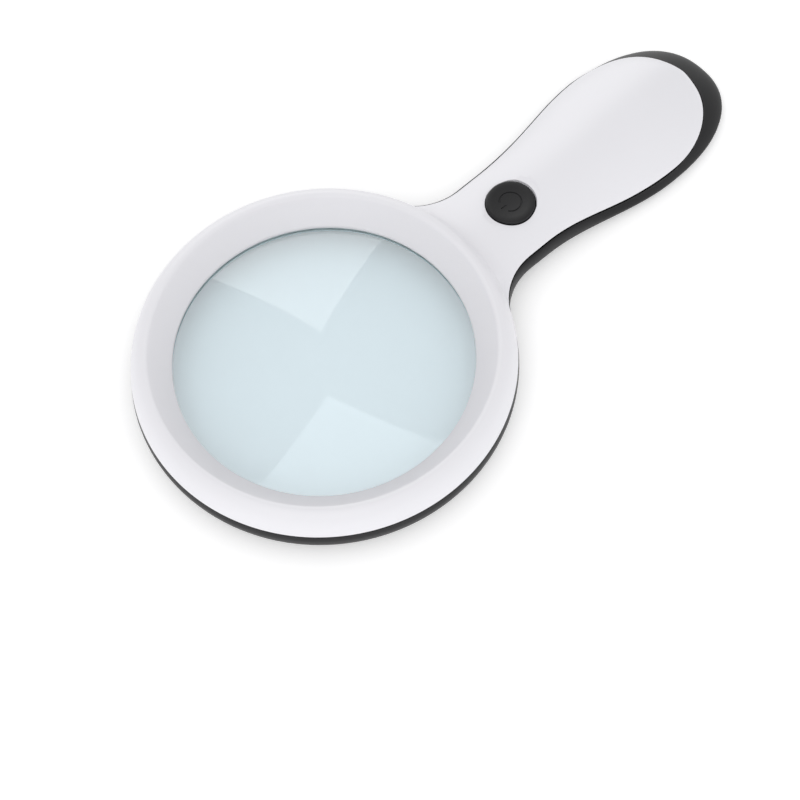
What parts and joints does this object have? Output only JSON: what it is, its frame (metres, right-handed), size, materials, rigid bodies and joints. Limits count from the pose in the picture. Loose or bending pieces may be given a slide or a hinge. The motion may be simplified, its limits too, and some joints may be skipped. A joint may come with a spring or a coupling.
{
  "type": "lighted_hand_magnifier",
  "caption": "Round low vision hand magnifier: glass lens in a white and black plastic frame, with a push-button lamp and a sliding battery door in the handle.",
  "frame": {"origin": "middle of the outline of the whole magnifier, on the surface that it rests on", "axes": "+X from the lens towards the handle's end, +Z out of the white face along the lens axis, +Y across"},
  "size_m": [0.2139, 0.1134, 0.0184],
  "materials": {
    "white_plastic": "satin",
    "black_plastic": "satin",
    "optical_glass": "polished",
    "gasket_rubber": "matte",
    "button_plastic": "satin",
    "plunger_plastic": "moulded",
    "spring_steel": "drawn",
    "inner_plastic": "moulded",
    "board_laminate": "lacquered",
    "screw_steel": "plated",
    "ceramic_dark": "matte",
    "led_resin": "clear cast",
    "reflector_metal": "vacuum plated",
    "frosted_plastic": "frosted",
    "wire_red": "extruded",
    "wire_black": "extruded",
    "cell_sleeve": "printed sleeve",
    "contact_metal": "nickel plated",
    "foam": "open cell"
  },
  "bodies": {
    "frame": {"front_cover": "white_plastic", "back_shell": "black_plastic", "lens": "optical_glass", "lens_gasket": "gasket_rubber", "switch_body": "inner_plastic", "lamp_board": "board_laminate", "board_screws": "screw_steel", "limit_resistor": "ceramic_dark", "lamp_led": "led_resin", "lamp_reflector": "reflector_metal", "lamp_window": "frosted_plastic", "wire_red": "wire_red", "wire_black": "wire_black", "battery_cradle": "inner_plastic", "battery_1": "cell_sleeve", "battery_2": "cell_sleeve", "contact_positive": "contact_metal", "contact_negative": "contact_metal", "contact_bridge": "contact_metal", "shell_screws": "screw_steel"},
    "button": {"power_button": "button_plastic", "switch_plunger": "plunger_plastic", "switch_spring": "spring_steel"},
    "door": {"battery_door": "black_plastic", "door_pad": "foam"}
  },
  "joints": [
    {"name": "button_press", "type": "slide", "parent": "frame", "child": "button", "axis": [0, 0, -1], "range_m": [0, 0.001], "stiffness_N_per_m": 400, "springref_m": -0.001, "deforming": ["switch_spring"]},
    {"name": "battery_door_slide", "type": "slide", "parent": "frame", "child": "door", "axis": [1, 0, 0], "range_m": [0, 0.06]}
  ]
}
